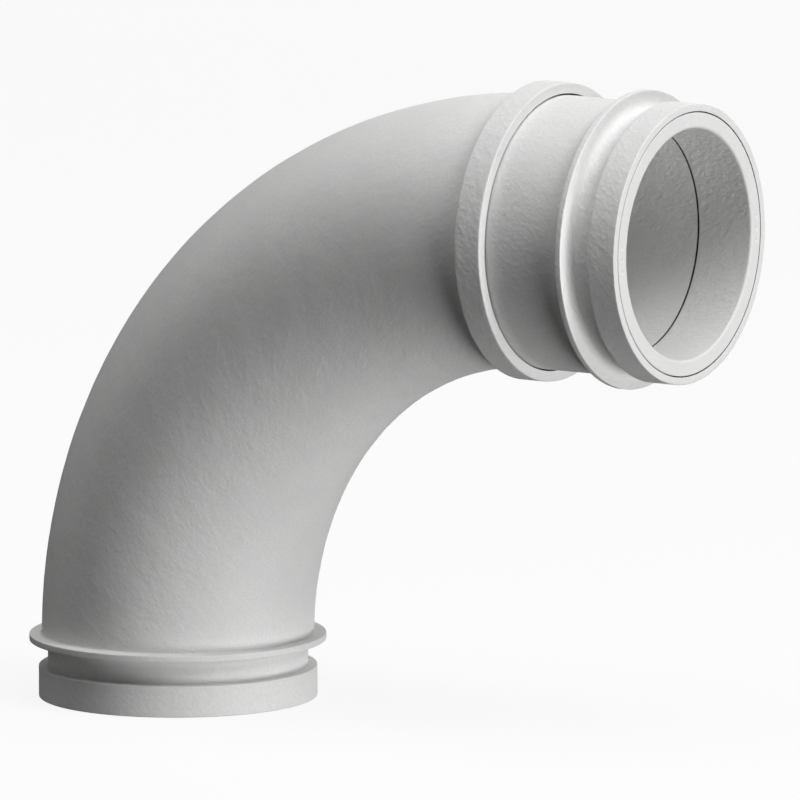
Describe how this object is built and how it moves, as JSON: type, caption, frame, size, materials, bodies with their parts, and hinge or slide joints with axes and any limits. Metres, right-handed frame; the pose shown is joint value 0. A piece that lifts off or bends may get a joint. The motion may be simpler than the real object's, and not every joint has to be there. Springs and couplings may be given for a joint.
{
  "type": "concrete delivery line elbow",
  "caption": "Twin-wall right-angle elbow for a concrete delivery line, with grooved clamp-coupling collars, hard wear rings and a short straight outlet tube.",
  "frame": {"origin": "centre of the inlet's end plane, where the next pipe's end meets it", "axes": "+Z along the inlet's axis into the elbow, +X along the outlet's axis out of it"},
  "size_m": [0.4123, 0.162, 0.356],
  "materials": {
    "painted_steel": "light grey paint over cast and rolled steel, satin, with a fine cast skin",
    "wear_ring": "light grey paint over a machined hard iron ring, smooth satin",
    "liner": "light grey coating over the hardened bore, matt and slightly rough",
    "weld": "weld dressed flush and painted with the tube",
    "bond": "dark epoxy bond line"
  },
  "bodies": {
    "root": {"elbow_shell": "painted_steel", "elbow_liner": "liner", "inlet_collar": "painted_steel", "inlet_wear_ring": "wear_ring", "inlet_ring_bond": "bond", "inlet_collar_weld": "weld", "hub_ring": "painted_steel", "hub_weld": "weld", "extension_tube": "painted_steel", "extension_liner": "liner", "outlet_collar": "painted_steel", "outlet_wear_ring": "wear_ring", "outlet_ring_bond": "bond", "outlet_collar_weld": "weld"}
  },
  "joints": []
}
